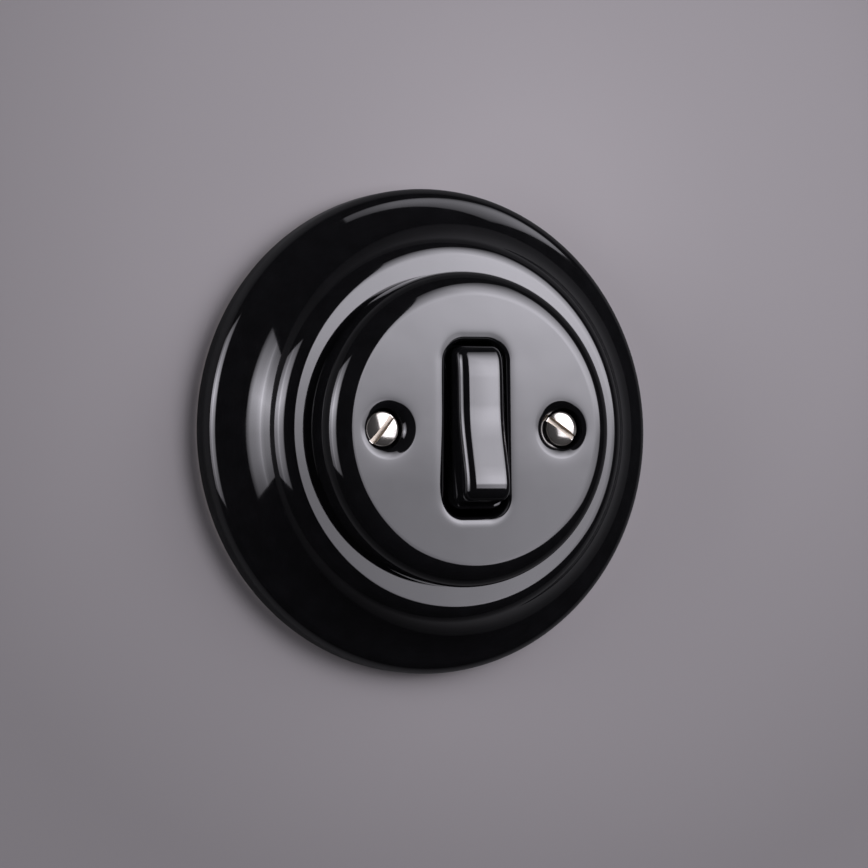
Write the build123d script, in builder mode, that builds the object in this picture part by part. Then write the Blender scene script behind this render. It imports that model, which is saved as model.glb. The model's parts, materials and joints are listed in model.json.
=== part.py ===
from build123d import *
import os
from math import cos, radians, sin, sqrt

# Round porcelain wall switch. Millimetres, +Z up, the front faces -Y.
# The origin is the centre of the frame's back, in the plane of the wall.

# Porcelain frame
frame_diameter = 100.0
rim_height = 3.7
rim_radius = 3.9
cove_radius = 16.7
brow_radius = 7.1
brow_angle = 40.5
shoulder_radius = 3.4
ring_height = 17.0
ring_width = 3.6
ring_thickness = 5.6
foot_width = 6.0
foot_height = 5.0
foot_rounding = 0.6

# Porcelain cover
cover_diameter = 63.8
cover_height = 9.0
cover_edge_radius = 5.1
cover_foot_rounding = 0.5
cover_thickness = 4.6
seat_width = 1.7
spigot_clearance = 0.4
spigot_depth = 2.8
spigot_wall = 3.0
aperture_width = 13.4
aperture_height = 35.2
aperture_corner = 4.0
aperture_rim = 0.8

# Cover screws, their soft recesses and counterbores
screw_edge_distance = 11.9
screw_diameter = 4.0
screw_length = 16.0
screw_head_diameter = 7.0
screw_head_wall = 1.3
screw_head_dome = 0.6
screw_slot_width = 1.2
screw_slot_depth = 1.1
left_slot_angle = 50.0
right_slot_angle = -35.0
recess_diameter = 12.2
recess_lip = 3.6
recess_sweep = 50.0
recess_offset = 0.75
counterbore_diameter = 8.3
counterbore_depth = 2.7
screw_hole_clearance = 0.5
boss_wall = 3.4
pillar_diameter = 6.4
pillar_gap = 0.5
pillar_bore_allowance = 1.0
pillar_rivet_diameter = 4.0
pillar_chamfer = 0.4

# Rocker
rocker_tilt = 7.0
pivot_depth = 6.0
rocker_reach = 10.6
rocker_hollow = 0.65
rocker_side_radius = 2.0
rocker_end_radius = 3.6
rocker_end_taper = 0.8
rocker_wall = 2.2
skirt_reach = 4.0
skirt_thickness = 1.2
skirt_side_gap = 0.6
skirt_end_gap = 1.0
skirt_corner = 2.9
skirt_ledge = 1.1
skirt_end_ledge = 0.5
skirt_rounding = 0.35
hub_radius = 3.0
hub_clearance = 0.15
barrel_wall = 1.15
barrel_clearance = 0.3
pin_diameter = 2.4
pin_running_clearance = 0.05
pin_peen = 0.35
pin_chamfer = 0.25

# Bracket and mounting plate
plate_thickness = 1.5
plate_clearance = 2.0
box_screw_spacing = 60.0
box_slot_width = 3.6
box_slot_length = 7.0
sheet_thickness = 1.2
ear_gap = 0.7
ear_clearance = 0.4
ear_foot = 11.0
bend_relief = 0.6
throat_clearance = 1.5
web_margin = 3.2
bracket_screw_diameter = 3.0
bracket_screw_head = 5.5
bracket_screw_head_height = 1.8
bracket_screw_slot = 0.8
bracket_screw_chamfer = 0.3
bend_radius = 0.6

# Plunger and spring
plunger_diameter = 4.0
plunger_length = 13.0
plunger_nose_gap = 0.1
spring_length = 5.5
spring_wire = 0.45
spring_turns = 4.0
spring_clearance = 0.2

# Contact see-saw
bridge_tilt = 5.0
bridge_depth = 3.7
bridge_thickness = 1.0
bridge_width = 5.4
bridge_end_radius = 2.3
trunnion_radius = 0.8
trunnion_length = 1.6
contact_reach = 10.5
contact_diameter = 3.0
contact_rim = 0.25
contact_dome = 0.45
contact_rivet_diameter = 1.6
contact_gap = 0.08
fixed_contact_diameter = 3.6
fixed_contact_height = 1.0
cradle_sheet = 0.8
cradle_gap = 0.4
cradle_foot = 6.0

# Insulating base, lid and terminals
base_width = 42.0
base_depth = 18.0
base_corner = 8.0
base_margin = 4.0
base_floor = 2.5
chamber_width = 11.0
chamber_wall = 3.5
chamber_clearance = 0.5
lid_thickness = 1.0
lid_margin = 1.2
strip_width = 6.5
strip_thickness = 1.0
strip_setback = 1.5
terminal_bay = 12.0
terminal_screw_diameter = 3.5
terminal_screw_head = 6.4
terminal_screw_head_height = 2.2
terminal_thread_depth = 4.5
terminal_slot = 1.0
terminal_screw_chamfer = 0.3
wire_gap = 2.0
clamp_width = 8.4
clamp_thickness = 1.0
nut_width = 5.5
nut_thickness = 2.4
screw_wall = 3.4
fit_clearance = 0.1
thread_clearance = 0.05
rivet_clearance = 0.02
edge_land = 0.2

# Places that follow from the sizes above; heights are measured forward from the wall
frame_radius = frame_diameter / 2
cover_radius = cover_diameter / 2
bore_radius = cover_radius - seat_width
ring_flat_radius = cover_radius + ring_width
cavity_radius = frame_radius - foot_width
face_height = ring_height + cover_height
ceiling_height = face_height - cover_thickness
spigot_radius = bore_radius - spigot_clearance
spigot_foot = ring_height - spigot_depth
flat_radius = cover_radius - cover_edge_radius

screw_x = cover_radius - screw_edge_distance
recess_x = screw_x - recess_offset
recess_floor = face_height - counterbore_depth
screw_tip = recess_floor - screw_length
pillar_top = spigot_foot - pillar_gap
pillar_bore_floor = screw_tip - pillar_bore_allowance

pivot_height = face_height - pivot_depth
skirt_back = skirt_reach - skirt_thickness
skirt_width = aperture_width - 2 * skirt_side_gap
skirt_length = aperture_height - 2 * skirt_end_gap
lever_width = skirt_width - 2 * skirt_ledge
lever_length = skirt_length - 2 * skirt_end_ledge
ear_outer = aperture_width / 2 - ear_gap
ear_inner = ear_outer - sheet_thickness
ear_radius = skirt_back - ear_clearance
hub_half = ear_inner - hub_clearance
web_front = plate_thickness + sheet_thickness

pin_radius = pin_diameter / 2
plunger_radius = plunger_diameter / 2
bore_fit = plunger_radius + thread_clearance
barrel_radius = bore_fit + barrel_wall
tilt_sin = sin(radians(rocker_tilt))
tilt_cos = cos(radians(rocker_tilt))
barrel_reach = (pivot_height - web_front - barrel_clearance - barrel_radius * tilt_sin) / tilt_cos

bridge_height = -bridge_depth
pad_height = bridge_height + bridge_thickness / 2
nose_reach = pivot_height - pad_height - plunger_nose_gap
plunger_back = nose_reach - plunger_length
spring_seat = plunger_back - spring_length
throat_width = 2 * (ear_inner - bend_relief)
throat_swing = (pivot_height + lid_thickness) * tilt_sin
throat_height = 2 * (plunger_radius + throat_swing + throat_clearance)

bridge_sin = sin(radians(bridge_tilt))
bridge_cos = cos(radians(bridge_tilt))
contact_height = contact_rim + contact_dome
contact_radius = contact_diameter / 2
dome_radius = (contact_radius**2 + contact_dome**2) / (2 * contact_dome)
dome_center = dome_radius - contact_height - bridge_thickness / 2
contact_low = bridge_height + dome_center * bridge_cos - contact_reach * bridge_sin - dome_radius
fixed_face = contact_low - contact_gap
strip_front = fixed_face - fixed_contact_height
strip_back = strip_front - strip_thickness

base_half = base_width / 2
chamber_half = chamber_width / 2
chamber_half_length = contact_reach + strip_width / 2 + chamber_clearance
bracket_screw_z = chamber_half_length + screw_wall
base_height = 2 * (bracket_screw_z + base_margin)
bay_inner = chamber_half + chamber_wall
terminal_x = (bay_inner + base_half) / 2
strip_end = base_half - strip_setback
clamp_front = strip_back - wire_gap
clamp_back = clamp_front - clamp_thickness

# Planes: the wall seen from the front, the half section, and the tilted rocker and see-saw
wall = Plane.XZ
section = Plane(origin=(0, 0, 0), x_dir=(1, 0, 0), z_dir=(0, 0, -1))
side = Plane(origin=(0, 0, 0), x_dir=(0, 0, 1), z_dir=(1, 0, 0))
pivot = (0, -pivot_height, 0)
rocker_front = (0, -tilt_cos, tilt_sin)
rocker_plane = Plane(origin=pivot, x_dir=(1, 0, 0), z_dir=rocker_front)
rocker_section = Plane(origin=pivot, x_dir=(1, 0, 0), z_dir=(0, -tilt_sin, -tilt_cos))
rocker_axis = Axis(pivot, rocker_front)
rocker_side = Plane(origin=pivot, x_dir=(0, tilt_sin, tilt_cos), z_dir=(1, 0, 0))
bridge_center = (0, bridge_depth, 0)
bridge_plane = Plane(origin=bridge_center, x_dir=(1, 0, 0), z_dir=(0, -bridge_cos, -bridge_sin))
bridge_side = Plane(origin=bridge_center, x_dir=(0, -bridge_sin, bridge_cos), z_dir=(1, 0, 0))

screw_places = [(-screw_x, 0), (screw_x, 0)]
bracket_screw_places = [(0, -bracket_screw_z), (0, bracket_screw_z)]
terminal_places = [(terminal_x, contact_reach), (terminal_x, -contact_reach), (-terminal_x, 0)]

os.makedirs("parts", exist_ok=True)


# Outer frame: turned section with a rolled rim, a hollow cove and a shoulder under a softer brow
rim_center = Vector(frame_radius - rim_radius, rim_height)
shoulder_center = Vector(ring_flat_radius, ring_height - shoulder_radius)
brow_normal = Vector(sin(radians(brow_angle)), cos(radians(brow_angle)))
brow_end = shoulder_center + brow_normal * shoulder_radius
brow_center = brow_end - brow_normal * brow_radius
rim_to_cove = cove_radius + rim_radius
brow_to_cove = cove_radius + brow_radius
between = brow_center - rim_center
along = (rim_to_cove**2 - brow_to_cove**2 + between.length**2) / (2 * between.length)
aside = sqrt(rim_to_cove**2 - along**2)
between_unit = between.normalized()
cove_center = rim_center + between_unit * along + Vector(between_unit.Y, -between_unit.X) * aside
cove_start = rim_center + (cove_center - rim_center).normalized() * rim_radius
cove_end = brow_center + (cove_center - brow_center).normalized() * brow_radius
ring_back = ring_height - ring_thickness

with BuildPart() as outer_frame:
    with BuildSketch(section) as frame_section:
        with BuildLine():
            foot = Line((frame_radius, 0), (frame_radius, rim_height))
            rim = TangentArc(foot @ 1, cove_start, tangent=foot % 1)
            cove = TangentArc(rim @ 1, cove_end, tangent=rim % 1)
            brow = TangentArc(cove @ 1, brow_end, tangent=cove % 1)
            shoulder = TangentArc(brow @ 1, (ring_flat_radius, ring_height), tangent=brow % 1)
            Polyline(
                shoulder @ 1,
                (bore_radius, ring_height),
                (bore_radius, ring_back),
                (ring_flat_radius, ring_back),
                (cavity_radius, foot_height),
                (cavity_radius, 0),
                (frame_radius, 0),
            )
        make_face()
        fillet(frame_section.vertices().group_by(Axis.Y)[0], foot_rounding)
    revolve(axis=Axis.Y)

outer_frame.part.label = "outer_frame"
export_step(outer_frame.part, "parts/outer_frame.step")


# Cover plate: turned disc with a soft edge, centred by a spigot in the frame's ring
aperture_rim_fit = min(aperture_rim, cover_thickness - edge_land)
lip_radius = recess_diameter / 2
lip_run = recess_lip * sin(radians(recess_sweep))
lip_drop = recess_lip * (1 - cos(radians(recess_sweep)))

with BuildPart() as cover_plate:
    with BuildSketch(section) as cover_section:
        with BuildLine():
            face = Line((0, face_height), (flat_radius, face_height))
            edge = TangentArc(
                face @ 1,
                (cover_radius, face_height - cover_edge_radius),
                tangent=face % 1,
            )
            Polyline(
                edge @ 1,
                (cover_radius, ring_height),
                (spigot_radius, ring_height),
                (spigot_radius, spigot_foot),
                (spigot_radius - spigot_wall, spigot_foot),
                (spigot_radius - spigot_wall, ceiling_height),
                (0, ceiling_height),
                (0, face_height),
            )
        make_face()
        foot_corner = cover_section.vertices().sort_by_distance((cover_radius, ring_height))[0]
        fillet(foot_corner, cover_foot_rounding)
    revolve(axis=Axis.Y)
    with BuildSketch(wall.offset(spigot_foot)):
        with Locations(*screw_places):
            Circle(screw_diameter / 2 + screw_hole_clearance + boss_wall)
    extrude(until=Until.NEXT)
    with BuildSketch(wall.offset(face_height)):
        RectangleRounded(aperture_width, aperture_height, aperture_corner)
    extrude(amount=-cover_height - spigot_depth, mode=Mode.SUBTRACT)
    aperture_edges = cover_plate.edges(Select.LAST).group_by(Axis.Y)[0]
    fillet(aperture_edges, aperture_rim_fit)
    for recess_center in (-recess_x, recess_x):
        recess_plane = Plane(origin=(recess_center, 0, 0), x_dir=(1, 0, 0), z_dir=(0, 0, -1))
        with BuildSketch(recess_plane):
            with BuildLine():
                lip_end = (lip_radius - lip_run, face_height - lip_drop)
                lip = TangentArc((lip_radius, face_height), lip_end, tangent=(-1, 0))
                Polyline(lip @ 1, (0, face_height - lip_drop), (0, face_height), lip @ 0)
            make_face()
        revolve(axis=Axis((recess_center, 0, 0), (0, 1, 0)), mode=Mode.SUBTRACT)
    with BuildSketch(wall.offset(recess_floor)):
        with Locations(*screw_places):
            Circle(counterbore_diameter / 2)
    extrude(amount=counterbore_depth, mode=Mode.SUBTRACT)
    with BuildSketch(wall.offset(recess_floor)):
        with Locations(*screw_places):
            Circle(screw_diameter / 2 + screw_hole_clearance)
    extrude(amount=spigot_foot - recess_floor, mode=Mode.SUBTRACT)

cover_plate.part.label = "cover_plate"
export_step(cover_plate.part, "parts/cover_plate.step")


# Cover screws: low domed heads with a saw-cut slot, each left at its own angle
with BuildPart() as cover_screws:
    for place, slot_angle in zip(screw_places, (left_slot_angle, right_slot_angle)):
        screw_plane = Plane(origin=(place[0], 0, place[1]), x_dir=(1, 0, 0), z_dir=(0, 0, -1))
        with BuildSketch(screw_plane):
            with BuildLine():
                shank = Polyline(
                    (0, screw_tip),
                    (screw_diameter / 2, screw_tip),
                    (screw_diameter / 2, recess_floor),
                    (screw_head_diameter / 2, recess_floor),
                    (screw_head_diameter / 2, recess_floor + screw_head_wall),
                )
                crown = (0, recess_floor + screw_head_wall + screw_head_dome)
                TangentArc(crown, shank @ 1, tangent=(1, 0))
                Line(crown, (0, screw_tip))
            make_face()
        revolve(axis=Axis((place[0], 0, place[1]), (0, 1, 0)))
        slot_floor = recess_floor + screw_head_wall + screw_head_dome - screw_slot_depth
        with BuildSketch(wall.offset(slot_floor)):
            with Locations(place):
                Rectangle(2 * screw_head_diameter, screw_slot_width, rotation=slot_angle)
        extrude(amount=screw_slot_depth, mode=Mode.SUBTRACT)

cover_screws.part.label = "cover_screws"
export_step(cover_screws.part, "parts/cover_screws.step")


# Threaded pillars: round posts riveted into the mounting plate
with BuildPart() as threaded_pillars:
    with BuildSketch(wall):
        with Locations(*screw_places):
            Circle(pillar_rivet_diameter / 2)
    extrude(amount=plate_thickness)
    with BuildSketch(wall.offset(plate_thickness)):
        with Locations(*screw_places):
            Circle(pillar_diameter / 2)
    extrude(amount=pillar_top - plate_thickness)
    pillar_ends = threaded_pillars.edges().group_by(Axis.Y)[0]
    chamfer(pillar_ends, pillar_chamfer)
    with BuildSketch(wall.offset(pillar_bore_floor)):
        with Locations(*screw_places):
            Circle(screw_diameter / 2 + thread_clearance)
    extrude(amount=pillar_top - pillar_bore_floor, mode=Mode.SUBTRACT)

threaded_pillars.part.label = "threaded_pillars"
export_step(threaded_pillars.part, "parts/threaded_pillars.step")


# Mounting plate: round sheet that lies on the wall, with slots for the wall-box screws
with BuildPart() as mounting_plate:
    with BuildSketch(wall):
        Circle(cavity_radius - plate_clearance)
        Rectangle(throat_width, throat_height, mode=Mode.SUBTRACT)
        with Locations((-box_screw_spacing / 2, 0), (box_screw_spacing / 2, 0)):
            SlotOverall(box_slot_length, box_slot_width, mode=Mode.SUBTRACT)
        with Locations(*screw_places):
            Circle(pillar_rivet_diameter / 2 + rivet_clearance, mode=Mode.SUBTRACT)
        with Locations(*bracket_screw_places):
            Circle(bracket_screw_diameter / 2 + fit_clearance, mode=Mode.SUBTRACT)
    extrude(amount=plate_thickness)

mounting_plate.part.label = "mounting_plate"
export_step(mounting_plate.part, "parts/mounting_plate.step")


# Pivot bracket: bent sheet with two tapered ears that hold the rocker's pin
with BuildPart() as pivot_bracket:
    with BuildSketch(wall.offset(plate_thickness)):
        web_width = 2 * (ear_outer + web_margin)
        web_height = 2 * (bracket_screw_z + bracket_screw_head / 2 + web_margin / 2)
        RectangleRounded(web_width, web_height, web_margin)
        Rectangle(throat_width, throat_height, mode=Mode.SUBTRACT)
        with Locations(*bracket_screw_places):
            Circle(bracket_screw_diameter / 2 + fit_clearance, mode=Mode.SUBTRACT)
    extrude(amount=sheet_thickness)
    with BuildSketch(side.offset(ear_inner)):
        with Locations((0, pivot_height)):
            Circle(ear_radius)
        with Locations((0, plate_thickness + sheet_thickness / 2)):
            Rectangle(ear_foot, sheet_thickness)
        make_hull()
        with Locations((0, pivot_height)):
            Circle(pin_radius + rivet_clearance, mode=Mode.SUBTRACT)
    ear = extrude(amount=sheet_thickness)
    mirror(ear, about=Plane.YZ)
    long_edges = pivot_bracket.edges().filter_by(Axis.Z)
    web_edges = long_edges.filter_by_position(Axis.Y, -web_front - edge_land, -web_front + edge_land)
    bends = web_edges.group_by(Axis.X)
    fillet(bends[1] + bends[-2], bend_radius)

pivot_bracket.part.label = "pivot_bracket"
export_step(pivot_bracket.part, "parts/pivot_bracket.step")


# Pivot pin: plain steel pin peened into both ears
with BuildPart() as pivot_pin:
    with BuildSketch(side):
        with Locations((0, pivot_height)):
            Circle(pin_radius)
    extrude(amount=ear_outer + pin_peen, both=True)
    pin_ends = pivot_pin.edges().filter_by(GeomType.CIRCLE)
    chamfer(pin_ends, pin_chamfer)

pivot_pin.part.label = "pivot_pin"
export_step(pivot_pin.part, "parts/pivot_pin.step")


# Bracket screws: slotted cheese heads that clamp bracket, plate and base together
with BuildPart() as bracket_screws:
    with BuildSketch(wall.offset(web_front)):
        with Locations(*bracket_screw_places):
            Circle(bracket_screw_head / 2)
    extrude(amount=bracket_screw_head_height)
    head_edges = bracket_screws.edges().group_by(Axis.Y)[0]
    chamfer(head_edges, bracket_screw_chamfer)
    with BuildSketch(wall.offset(web_front)):
        with Locations(*bracket_screw_places):
            Circle(bracket_screw_diameter / 2)
    extrude(amount=-web_front - base_depth)
    with BuildSketch(wall.offset(web_front + bracket_screw_head_height / 2)):
        with Locations(*bracket_screw_places):
            Rectangle(2 * bracket_screw_head, bracket_screw_slot)
    extrude(amount=bracket_screw_head_height, mode=Mode.SUBTRACT)

bracket_screws.part.label = "bracket_screws"
export_step(bracket_screws.part, "parts/bracket_screws.step")


# Square nuts: trapped in pockets in the back of the base
with BuildPart() as square_nuts:
    with BuildSketch(wall.offset(-base_depth)):
        with Locations(*bracket_screw_places):
            Rectangle(nut_width, nut_width)
            Circle(bracket_screw_diameter / 2 + thread_clearance, mode=Mode.SUBTRACT)
    extrude(amount=nut_thickness)

square_nuts.part.label = "square_nuts"
export_step(square_nuts.part, "parts/square_nuts.step")


# Rocker: hollow-faced lever with soft edges on a thin skirt, cored out behind, on a hub with a barrel
with BuildPart() as lever:
    with BuildSketch(rocker_side) as lever_profile:
        with BuildLine():
            lever_half = lever_length / 2
            front_half = lever_half - rocker_end_taper
            front_reach = rocker_reach + rocker_hollow
            hollow = ThreePointArc((-front_half, front_reach), (0, rocker_reach), (front_half, front_reach))
            Polyline(hollow @ 1, (lever_half, skirt_reach), (-lever_half, skirt_reach), hollow @ 0)
        make_face()
        front_corners = lever_profile.vertices().group_by(Axis.Y)[-1]
        fillet(front_corners, rocker_end_radius)
    extrude(amount=lever_width / 2, both=True)
    side_edges = lever.faces().filter_by(Axis.X).edges().sort_by(rocker_axis)
    fillet(side_edges[2:], rocker_side_radius)

with BuildPart() as rocker:
    with BuildSketch(rocker_plane.offset(skirt_back)):
        RectangleRounded(skirt_width, skirt_length, skirt_corner)
    extrude(amount=skirt_thickness)
    skirt_edges = rocker.faces().sort_by(rocker_axis)[-1].edges()
    fillet(skirt_edges, skirt_rounding)
    add(lever.part)
    core_start = hub_radius + rocker_wall
    core_end = front_half - rocker_wall
    with BuildSketch(rocker_plane.offset(skirt_back)):
        with GridLocations(0, core_start + core_end, 1, 2):
            Rectangle(lever_width - 2 * rocker_wall, core_end - core_start)
    extrude(amount=rocker_reach - rocker_wall - skirt_back, mode=Mode.SUBTRACT)
    with BuildSketch(rocker_side):
        Circle(hub_radius)
    extrude(amount=hub_half, both=True)
    with BuildSketch(rocker_plane.offset(-barrel_reach)):
        Circle(barrel_radius)
    extrude(amount=barrel_reach + skirt_back)
    with BuildSketch(rocker_plane.offset(-barrel_reach)):
        Circle(bore_fit)
    extrude(amount=barrel_reach - spring_seat, mode=Mode.SUBTRACT)
    with BuildSketch(rocker_side):
        Circle(pin_radius + pin_running_clearance)
    extrude(amount=hub_half, both=True, mode=Mode.SUBTRACT)

rocker.part.label = "rocker"
export_step(rocker.part, "parts/rocker.step")


# Plunger: round-nosed pin that slides in the rocker's barrel
with BuildPart() as plunger:
    with BuildSketch(rocker_section):
        with BuildLine():
            nose_tip = (0, -nose_reach)
            nose = TangentArc(nose_tip, (plunger_radius, plunger_radius - nose_reach), tangent=(1, 0))
            Polyline(nose @ 1, (plunger_radius, -plunger_back), (0, -plunger_back), nose_tip)
        make_face()
    revolve(axis=rocker_axis)

plunger.part.label = "plunger"
export_step(plunger.part, "parts/plunger.step")


# Plunger spring: round wire coiled between the barrel's seat and the plunger's back
spring_radius = plunger_radius - spring_clearance - spring_wire / 2
spring_height = spring_length - spring_wire
spring_start = rocker_plane.from_local_coords((0, 0, spring_wire / 2 - plunger_back))

with BuildPart() as plunger_spring:
    with BuildLine() as coil:
        Helix(
            pitch=spring_height / spring_turns,
            height=spring_height,
            radius=spring_radius,
            center=spring_start,
            direction=rocker_front,
        )
    with BuildSketch(Plane(origin=coil.line @ 0, z_dir=coil.line % 0)):
        Circle(spring_wire / 2)
    sweep(path=coil.line, is_frenet=True)

plunger_spring.part.label = "plunger_spring"
export_step(plunger_spring.part, "parts/plunger_spring.step")


# Contact bridge: brass see-saw with a trunnion on each side
with BuildPart() as contact_bridge:
    with BuildSketch(bridge_plane.offset(-bridge_thickness / 2)):
        Rectangle(bridge_width, bridge_width)
        Rectangle(2 * bridge_end_radius, 2 * contact_reach)
        with GridLocations(0, 2 * contact_reach, 1, 2):
            Circle(bridge_end_radius)
            Circle(contact_rivet_diameter / 2 + rivet_clearance, mode=Mode.SUBTRACT)
    extrude(amount=bridge_thickness)
    with BuildSketch(bridge_side.offset(bridge_width / 2)):
        Circle(trunnion_radius)
    trunnion = extrude(amount=trunnion_length)
    mirror(trunnion, about=Plane.YZ)

contact_bridge.part.label = "contact_bridge"
export_step(contact_bridge.part, "parts/contact_bridge.step")


# Moving contacts: domed silver rivets at the ends of the see-saw
with BuildPart() as moving_contacts:
    for end in (-1, 1):
        contact_origin = bridge_plane.from_local_coords((0, end * contact_reach, 0))
        contact_section = Plane(
            origin=contact_origin,
            x_dir=(1, 0, 0),
            z_dir=(0, bridge_sin, -bridge_cos),
        )
        with BuildSketch(contact_section):
            with BuildLine():
                rivet = Polyline(
                    (0, bridge_thickness / 2),
                    (contact_rivet_diameter / 2, bridge_thickness / 2),
                    (contact_rivet_diameter / 2, -bridge_thickness / 2),
                    (contact_radius, -bridge_thickness / 2),
                    (contact_radius, -bridge_thickness / 2 - contact_rim),
                )
                dome_tip = (0, -bridge_thickness / 2 - contact_height)
                TangentArc(dome_tip, rivet @ 1, tangent=(1, 0))
                Line(dome_tip, rivet @ 0)
            make_face()
        revolve(axis=Axis(contact_origin, (0, -bridge_cos, -bridge_sin)))

moving_contacts.part.label = "moving_contacts"
export_step(moving_contacts.part, "parts/moving_contacts.step")


# Bridge cradle: brass channel whose open notches carry the see-saw's trunnions
cradle_inner = bridge_width / 2 + cradle_gap
notch_radius = trunnion_radius + thread_clearance

with BuildPart() as bridge_cradle:
    with BuildSketch(wall.offset(strip_front)):
        Rectangle(2 * (cradle_inner + cradle_sheet), cradle_foot)
    extrude(amount=cradle_sheet)
    with BuildSketch(side.offset(cradle_inner)):
        cheek_height = pad_height - strip_front
        with Locations((0, strip_front)):
            Rectangle(cradle_foot, cheek_height, align=(Align.CENTER, Align.MIN))
        with Locations((0, bridge_height)):
            Circle(notch_radius, mode=Mode.SUBTRACT)
            notch_align = (Align.CENTER, Align.MIN)
            Rectangle(2 * notch_radius, bridge_thickness, align=notch_align, mode=Mode.SUBTRACT)
    cheek = extrude(amount=cradle_sheet)
    mirror(cheek, about=Plane.YZ)

bridge_cradle.part.label = "bridge_cradle"
export_step(bridge_cradle.part, "parts/bridge_cradle.step")


# Common terminal: brass strip from under the cradle to the left-hand terminal
with BuildPart() as common_terminal:
    with BuildSketch(wall.offset(strip_back)):
        inner_end = cradle_inner + cradle_sheet
        with Locations(((inner_end - strip_end) / 2, 0)):
            Rectangle(strip_end + inner_end, strip_width)
        with Locations((-terminal_x, 0)):
            Circle(terminal_screw_diameter / 2 + thread_clearance, mode=Mode.SUBTRACT)
    extrude(amount=strip_thickness)

common_terminal.part.label = "common_terminal"
export_step(common_terminal.part, "parts/common_terminal.step")


# Upper and lower terminals: brass strips from a fixed contact to the right-hand terminals
def contact_strip(height):
    with BuildPart() as strip:
        with BuildSketch(wall.offset(strip_back)):
            inner_end = fixed_contact_diameter / 2 + chamber_clearance
            with Locations(((strip_end - inner_end) / 2, height)):
                Rectangle(strip_end + inner_end, strip_width)
            with Locations((terminal_x, height)):
                Circle(terminal_screw_diameter / 2 + thread_clearance, mode=Mode.SUBTRACT)
            with Locations((0, height)):
                Circle(contact_rivet_diameter / 2 + rivet_clearance, mode=Mode.SUBTRACT)
        extrude(amount=strip_thickness)
    return strip.part


upper_terminal = contact_strip(contact_reach)
upper_terminal.label = "upper_terminal"
export_step(upper_terminal, "parts/upper_terminal.step")

lower_terminal = contact_strip(-contact_reach)
lower_terminal.label = "lower_terminal"
export_step(lower_terminal, "parts/lower_terminal.step")


# Fixed contacts: flat silver rivets in the upper and lower strips
with BuildPart() as fixed_contacts:
    with BuildSketch(wall.offset(strip_front)):
        with GridLocations(0, 2 * contact_reach, 1, 2):
            Circle(fixed_contact_diameter / 2)
    extrude(amount=fixed_contact_height)
    with BuildSketch(wall.offset(strip_back)):
        with GridLocations(0, 2 * contact_reach, 1, 2):
            Circle(contact_rivet_diameter / 2)
    extrude(amount=strip_thickness)

fixed_contacts.part.label = "fixed_contacts"
export_step(fixed_contacts.part, "parts/fixed_contacts.step")


# Terminal screws: driven from the back through the clamp plates into the strips
terminal_tip = strip_front + terminal_thread_depth

with BuildPart() as terminal_screws:
    with BuildSketch(wall.offset(clamp_back)):
        with Locations(*terminal_places):
            Circle(terminal_screw_head / 2)
    extrude(amount=-terminal_screw_head_height)
    head_edges = terminal_screws.edges().group_by(Axis.Y)[-1]
    chamfer(head_edges, terminal_screw_chamfer)
    with BuildSketch(wall.offset(clamp_back)):
        with Locations(*terminal_places):
            Circle(terminal_screw_diameter / 2)
    extrude(amount=terminal_tip - clamp_back)
    with BuildSketch(wall.offset(clamp_back - terminal_screw_head_height / 2)):
        with Locations(*terminal_places):
            Rectangle(2 * terminal_screw_head, terminal_slot)
    extrude(amount=-terminal_screw_head_height, mode=Mode.SUBTRACT)

terminal_screws.part.label = "terminal_screws"
export_step(terminal_screws.part, "parts/terminal_screws.step")


# Clamp plates: square plates that press the wires onto the strips
with BuildPart() as clamp_plates:
    with BuildSketch(wall.offset(clamp_back)):
        with Locations(*terminal_places):
            RectangleRounded(clamp_width, clamp_width, clamp_thickness)
            Circle(terminal_screw_diameter / 2 + fit_clearance, mode=Mode.SUBTRACT)
    extrude(amount=clamp_thickness)

clamp_plates.part.label = "clamp_plates"
export_step(clamp_plates.part, "parts/clamp_plates.step")


# Switch base: moulded block with a contact chamber in front and three terminal bays behind
with BuildPart() as switch_base:
    with BuildSketch(wall.offset(-base_depth)):
        RectangleRounded(base_width, base_height, base_corner)
    extrude(amount=base_depth)
    with BuildSketch(wall):
        Rectangle(chamber_width + 2 * lid_margin, 2 * (chamber_half_length + lid_margin))
    extrude(amount=-lid_thickness, mode=Mode.SUBTRACT)
    with BuildSketch(wall):
        Rectangle(chamber_width, 2 * chamber_half_length)
    extrude(amount=strip_back, mode=Mode.SUBTRACT)
    for terminal in terminal_places:
        outward = 1 if terminal[0] > 0 else -1
        bay_center = outward * (bay_inner + base_half) / 2
        slot_center = outward * (chamber_half + bay_inner) / 2
        with BuildSketch(wall.offset(-base_depth)):
            with Locations((bay_center, terminal[1])):
                Rectangle(base_half - bay_inner, terminal_bay)
        extrude(amount=base_depth + strip_front, mode=Mode.SUBTRACT)
        with BuildSketch(wall.offset(strip_back)):
            with Locations((slot_center, terminal[1])):
                Rectangle(chamber_wall, strip_width + 2 * fit_clearance)
        extrude(amount=strip_thickness, mode=Mode.SUBTRACT)
    with BuildSketch(wall.offset(strip_front)):
        with Locations(*terminal_places):
            Circle(terminal_screw_diameter / 2 + fit_clearance)
    extrude(amount=terminal_thread_depth + fit_clearance, mode=Mode.SUBTRACT)
    hollow_depth = base_depth + strip_back - base_floor
    with BuildSketch(wall.offset(-base_depth)):
        Rectangle(2 * bay_inner - 2 * base_floor, 2 * (contact_reach + base_floor / 2))
    extrude(amount=hollow_depth, mode=Mode.SUBTRACT)
    with BuildSketch(wall.offset(-base_depth)):
        with Locations(*bracket_screw_places):
            Rectangle(nut_width + 2 * fit_clearance, nut_width + 2 * fit_clearance)
    extrude(amount=nut_thickness, mode=Mode.SUBTRACT)
    with BuildSketch(wall.offset(-base_depth)):
        with Locations(*bracket_screw_places):
            Circle(bracket_screw_diameter / 2 + fit_clearance)
    extrude(amount=base_depth, mode=Mode.SUBTRACT)

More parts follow.
